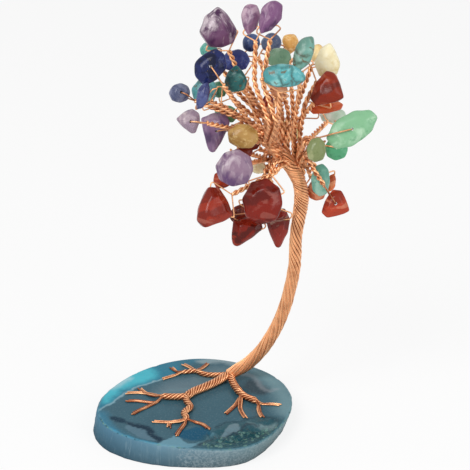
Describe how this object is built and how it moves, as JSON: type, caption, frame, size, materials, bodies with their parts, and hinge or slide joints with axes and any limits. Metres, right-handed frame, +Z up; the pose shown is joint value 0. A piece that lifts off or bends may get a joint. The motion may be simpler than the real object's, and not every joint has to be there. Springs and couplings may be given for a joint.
{
  "type": "gemstone tree ornament",
  "caption": "Small ornamental tree of twisted copper wire on a dyed agate slice, its looped stems threaded through drilled gem chips that rock on the wire.",
  "frame": {"origin": "middle of the agate slice's flat underside, on the surface it stands on", "axes": "+Z up along the tree, +X to the right and +Y to the rear of the tree as pictured"},
  "size_m": [0.0819, 0.0608, 0.1338],
  "materials": {
    "agate": "polished",
    "copper": "satin",
    "amethyst": "polished",
    "lapis": "polished",
    "turquoise": "polished",
    "sodalite": "polished",
    "citrine": "polished",
    "aventurine": "polished",
    "jasper": "polished"
  },
  "bodies": {
    "tree": {"agate_slice": "agate", "trunk": "copper", "root_left": "copper", "root_rear": "copper", "root_right": "copper", "spray_left": "copper", "spray_rear_left": "copper", "spray_top": "copper", "spray_rear_top": "copper", "spray_right_up": "copper", "spray_right": "copper", "spray_low_right": "copper", "spray_low_left": "copper", "spray_low": "copper"},
    "amethyst_crest_left": {"amethyst_crest_left": "amethyst"},
    "amethyst_crest_middle": {"amethyst_crest_middle": "amethyst"},
    "amethyst_crest_right": {"amethyst_crest_right": "amethyst"},
    "amethyst_left_tip": {"amethyst_left_tip": "amethyst"},
    "amethyst_left": {"amethyst_left": "amethyst"},
    "amethyst_round": {"amethyst_round": "amethyst"},
    "lapis_left": {"lapis_left": "lapis"},
    "lapis_middle": {"lapis_middle": "lapis"},
    "lapis_left_tip": {"lapis_left_tip": "lapis"},
    "lapis_slim": {"lapis_slim": "lapis"},
    "turquoise_left": {"turquoise_left": "turquoise"},
    "turquoise_teal": {"turquoise_teal": "turquoise"},
    "turquoise_front": {"turquoise_front": "turquoise"},
    "turquoise_tall": {"turquoise_tall": "turquoise"},
    "sodalite_middle": {"sodalite_middle": "sodalite"},
    "sodalite_right": {"sodalite_right": "sodalite"},
    "citrine_amber": {"citrine_amber": "citrine"},
    "citrine_rear": {"citrine_rear": "citrine"},
    "citrine_right": {"citrine_right": "citrine"},
    "citrine_left": {"citrine_left": "citrine"},
    "citrine_small": {"citrine_small": "citrine"},
    "citrine_far": {"citrine_far": "citrine"},
    "aventurine_crest": {"aventurine_crest": "aventurine"},
    "aventurine_inner": {"aventurine_inner": "aventurine"},
    "aventurine_left": {"aventurine_left": "aventurine"},
    "aventurine_top": {"aventurine_top": "aventurine"},
    "aventurine_rear": {"aventurine_rear": "aventurine"},
    "aventurine_wing": {"aventurine_wing": "aventurine"},
    "aventurine_lobe": {"aventurine_lobe": "aventurine"},
    "aventurine_olive": {"aventurine_olive": "aventurine"},
    "aventurine_low": {"aventurine_low": "aventurine"},
    "jasper_inner": {"jasper_inner": "jasper"},
    "jasper_peach": {"jasper_peach": "jasper"},
    "jasper_right_up": {"jasper_right_up": "jasper"},
    "jasper_right_flat": {"jasper_right_flat": "jasper"},
    "jasper_behind_citrine": {"jasper_behind_citrine": "jasper"},
    "jasper_behind_round": {"jasper_behind_round": "jasper"},
    "jasper_left_back": {"jasper_left_back": "jasper"},
    "jasper_left": {"jasper_left": "jasper"},
    "jasper_small": {"jasper_small": "jasper"},
    "jasper_centre": {"jasper_centre": "jasper"},
    "jasper_bottom": {"jasper_bottom": "jasper"},
    "jasper_point": {"jasper_point": "jasper"},
    "jasper_low_back": {"jasper_low_back": "jasper"},
    "jasper_slim": {"jasper_slim": "jasper"},
    "jasper_low_right": {"jasper_low_right": "jasper"}
  },
  "joints": [
    {"name": "amethyst_crest_left_rock", "type": "hinge", "parent": "tree", "child": "amethyst_crest_left", "pos_m": [0.00884, 0.00651, 0.1198], "axis": [-0.8381, -0.3269, -0.4367], "range_deg": [-12, 12]},
    {"name": "amethyst_crest_middle_rock", "type": "hinge", "parent": "tree", "child": "amethyst_crest_middle", "pos_m": [0.01731, -0.00256, 0.12507], "axis": [-0.9542, 0.1466, -0.2607], "range_deg": [-12, 12]},
    {"name": "amethyst_crest_right_rock", "type": "hinge", "parent": "tree", "child": "amethyst_crest_right", "pos_m": [0.022, -0.00808, 0.127], "axis": [-0.9817, -0.1871, -0.0342], "range_deg": [-12, 12]},
    {"name": "amethyst_left_tip_rock", "type": "hinge", "parent": "tree", "child": "amethyst_left_tip", "pos_m": [-0.00029, -0.008, 0.09923], "axis": [0.161, -0.9131, 0.3746], "range_deg": [-12, 12]},
    {"name": "amethyst_left_rock", "type": "hinge", "parent": "tree", "child": "amethyst_left", "pos_m": [0.00751, 0.0022, 0.09298], "axis": [-0.161, -0.9131, 0.3746], "range_deg": [-12, 12]},
    {"name": "amethyst_round_rock", "type": "hinge", "parent": "tree", "child": "amethyst_round", "pos_m": [0.01307, -0.01224, 0.08739], "axis": [0.4095, -0.3418, -0.8459], "range_deg": [-12, 12]},
    {"name": "lapis_left_rock", "type": "hinge", "parent": "tree", "child": "lapis_left", "pos_m": [0.00571, -0.006, 0.11473], "axis": [0, -0.9272, 0.3746], "range_deg": [-12, 12]},
    {"name": "lapis_middle_rock", "type": "hinge", "parent": "tree", "child": "lapis_middle", "pos_m": [0.01342, 0.0119, 0.10946], "axis": [-0.8709, -0.31, -0.3814], "range_deg": [-12, 12]},
    {"name": "lapis_left_tip_rock", "type": "hinge", "parent": "tree", "child": "lapis_left_tip", "pos_m": [-0.00329, 0, 0.10523], "axis": [0.3171, -0.8713, 0.3746], "range_deg": [-12, 12]},
    {"name": "lapis_slim_rock", "type": "hinge", "parent": "tree", "child": "lapis_slim", "pos_m": [0.00415, -0.01143, 0.10766], "axis": [-0.7007, -0.0509, -0.7116], "range_deg": [-12, 12]},
    {"name": "turquoise_left_rock", "type": "hinge", "parent": "tree", "child": "turquoise_left", "pos_m": [0.0054, 0.00459, 0.10288], "axis": [-0.6187, -0.2943, -0.7284], "range_deg": [-12, 12]},
    {"name": "turquoise_teal_rock", "type": "hinge", "parent": "tree", "child": "turquoise_teal", "pos_m": [0.01338, 0.00343, 0.1073], "axis": [-0.7971, -0.2262, -0.5598], "range_deg": [-12, 12]},
    {"name": "turquoise_front_rock", "type": "hinge", "parent": "tree", "child": "turquoise_front", "pos_m": [0.02548, -0.01251, 0.1125], "axis": [-0.9734, 0.0857, 0.2122], "range_deg": [-12, 12]},
    {"name": "turquoise_tall_rock", "type": "hinge", "parent": "tree", "child": "turquoise_tall", "pos_m": [0.0314, -0.00514, 0.11654], "axis": [-0.9978, 0.025, 0.0618], "range_deg": [-12, 12]},
    {"name": "sodalite_middle_rock", "type": "hinge", "parent": "tree", "child": "sodalite_middle", "pos_m": [0.0178, 0.01687, 0.11378], "axis": [-0.8945, -0.1675, -0.4145], "range_deg": [-12, 12]},
    {"name": "sodalite_right_rock", "type": "hinge", "parent": "tree", "child": "sodalite_right", "pos_m": [0.02311, 0.0103, 0.11577], "axis": [-0.9713, -0.089, -0.2204], "range_deg": [-12, 12]},
    {"name": "citrine_amber_rock", "type": "hinge", "parent": "tree", "child": "citrine_amber", "pos_m": [0.02846, 0.01685, 0.11304], "axis": [-0.9996, 0.0106, 0.0263], "range_deg": [-12, 12]},
    {"name": "citrine_rear_rock", "type": "hinge", "parent": "tree", "child": "citrine_rear", "pos_m": [0.03573, 0.01407, 0.11136], "axis": [-0.9077, 0.1572, 0.3891], "range_deg": [-12, 12]},
    {"name": "citrine_right_rock", "type": "hinge", "parent": "tree", "child": "citrine_right", "pos_m": [0.03755, 0.00386, 0.11125], "axis": [-0.8675, 0.3119, 0.3875], "range_deg": [-12, 12]},
    {"name": "citrine_left_rock", "type": "hinge", "parent": "tree", "child": "citrine_left", "pos_m": [0.015, -0.00578, 0.09466], "axis": [0.8107, -0.2193, -0.5428], "range_deg": [-12, 12]},
    {"name": "citrine_small_rock", "type": "hinge", "parent": "tree", "child": "citrine_small", "pos_m": [0.01985, 0.01338, 0.07841], "axis": [0.7669, -0.2404, -0.595], "range_deg": [-12, 12]},
    {"name": "citrine_far_rock", "type": "hinge", "parent": "tree", "child": "citrine_far", "pos_m": [0.02866, 0.02086, 0.08771], "axis": [0.9953, -0.0738, 0.0632], "range_deg": [-12, 12]},
    {"name": "aventurine_crest_rock", "type": "hinge", "parent": "tree", "child": "aventurine_crest", "pos_m": [0.00567, 0.01289, 0.11313], "axis": [-0.7776, -0.2355, -0.583], "range_deg": [-12, 12]},
    {"name": "aventurine_inner_rock", "type": "hinge", "parent": "tree", "child": "aventurine_inner", "pos_m": [0.00892, 0.01282, 0.10152], "axis": [-0.5439, -0.3144, -0.778], "range_deg": [-12, 12]},
    {"name": "aventurine_left_rock", "type": "hinge", "parent": "tree", "child": "aventurine_left", "pos_m": [0.0113, 0.00599, 0.09623], "axis": [-0.5191, -0.3202, -0.7925], "range_deg": [-12, 12]},
    {"name": "aventurine_top_rock", "type": "hinge", "parent": "tree", "child": "aventurine_top", "pos_m": [0.02506, 0.00358, 0.11367], "axis": [-0.9827, -0.0694, -0.1719], "range_deg": [-12, 12]},
    {"name": "aventurine_rear_rock", "type": "hinge", "parent": "tree", "child": "aventurine_rear", "pos_m": [0.04057, 0.01175, 0.09413], "axis": [-0.7218, 0.2593, 0.6417], "range_deg": [-12, 12]},
    {"name": "aventurine_wing_rock", "type": "hinge", "parent": "tree", "child": "aventurine_wing", "pos_m": [0.04531, -0.007, 0.09673], "axis": [0, -0.9272, 0.3746], "range_deg": [-12, 12]},
    {"name": "aventurine_lobe_rock", "type": "hinge", "parent": "tree", "child": "aventurine_lobe", "pos_m": [0.04171, 0.003, 0.08773], "axis": [0, -0.9272, 0.3746], "range_deg": [-12, 12]},
    {"name": "aventurine_olive_rock", "type": "hinge", "parent": "tree", "child": "aventurine_olive", "pos_m": [0.03486, -0.01187, 0.09273], "axis": [0.8573, 0.1929, 0.4774], "range_deg": [-12, 12]},
    {"name": "aventurine_low_rock", "type": "hinge", "parent": "tree", "child": "aventurine_low", "pos_m": [0.03721, 0.002, 0.07823], "axis": [0, -0.9272, 0.3746], "range_deg": [-12, 12]},
    {"name": "jasper_inner_rock", "type": "hinge", "parent": "tree", "child": "jasper_inner", "pos_m": [0.02199, 0.0059, 0.09977], "axis": [0.9972, 0.0747, -0.0023], "range_deg": [-12, 12]},
    {"name": "jasper_peach_rock", "type": "hinge", "parent": "tree", "child": "jasper_peach", "pos_m": [0.02477, 0.00209, 0.10485], "axis": [-0.9811, 0.0725, 0.1793], "range_deg": [-12, 12]},
    {"name": "jasper_right_up_rock", "type": "hinge", "parent": "tree", "child": "jasper_right_up", "pos_m": [0.03707, -0.00284, 0.10575], "axis": [-0.6454, 0.3846, 0.66], "range_deg": [-12, 12]},
    {"name": "jasper_right_flat_rock", "type": "hinge", "parent": "tree", "child": "jasper_right_flat", "pos_m": [0.03609, 0.00371, 0.09858], "axis": [-0.4502, 0.3345, 0.8279], "range_deg": [-12, 12]},
    {"name": "jasper_behind_citrine_rock", "type": "hinge", "parent": "tree", "child": "jasper_behind_citrine", "pos_m": [0.01795, 0.00456, 0.08811], "axis": [-0.5579, -0.3109, -0.7695], "range_deg": [-12, 12]},
    {"name": "jasper_behind_round_rock", "type": "hinge", "parent": "tree", "child": "jasper_behind_round", "pos_m": [0.01525, -0.00214, 0.08787], "axis": [-0.0187, -0.3745, -0.927], "range_deg": [-12, 12]},
    {"name": "jasper_left_back_rock", "type": "hinge", "parent": "tree", "child": "jasper_left_back", "pos_m": [0.01011, 0.00289, 0.07993], "axis": [0.8877, -0.1725, -0.4269], "range_deg": [-12, 12]},
    {"name": "jasper_left_rock", "type": "hinge", "parent": "tree", "child": "jasper_left", "pos_m": [0.00824, -0.00739, 0.07496], "axis": [0.5407, -0.1972, -0.8178], "range_deg": [-12, 12]},
    {"name": "jasper_small_rock", "type": "hinge", "parent": "tree", "child": "jasper_small", "pos_m": [0.01558, 0.00238, 0.06939], "axis": [0.8318, -0.2079, -0.5147], "range_deg": [-12, 12]},
    {"name": "jasper_centre_rock", "type": "hinge", "parent": "tree", "child": "jasper_centre", "pos_m": [0.02125, -0.00691, 0.07851], "axis": [0.9592, -0.106, -0.2622], "range_deg": [-12, 12]},
    {"name": "jasper_bottom_rock", "type": "hinge", "parent": "tree", "child": "jasper_bottom", "pos_m": [0.01678, -0.00388, 0.06659], "axis": [0.9316, -0.1362, -0.337], "range_deg": [-12, 12]},
    {"name": "jasper_point_rock", "type": "hinge", "parent": "tree", "child": "jasper_point", "pos_m": [0.02467, 0.00135, 0.06591], "axis": [0.9945, 0.0391, 0.0969], "range_deg": [-12, 12]},
    {"name": "jasper_low_back_rock", "type": "hinge", "parent": "tree", "child": "jasper_low_back", "pos_m": [0.03604, 0.00958, 0.07371], "axis": [0.9049, 0.1594, 0.3946], "range_deg": [-12, 12]},
    {"name": "jasper_slim_rock", "type": "hinge", "parent": "tree", "child": "jasper_slim", "pos_m": [0.04013, 0.00786, 0.07601], "axis": [0.7015, 0.267, 0.6608], "range_deg": [-12, 12]},
    {"name": "jasper_low_right_rock", "type": "hinge", "parent": "tree", "child": "jasper_low_right", "pos_m": [0.04111, -0.008, 0.07473], "axis": [0, -0.9272, 0.3746], "range_deg": [-12, 12]}
  ]
}
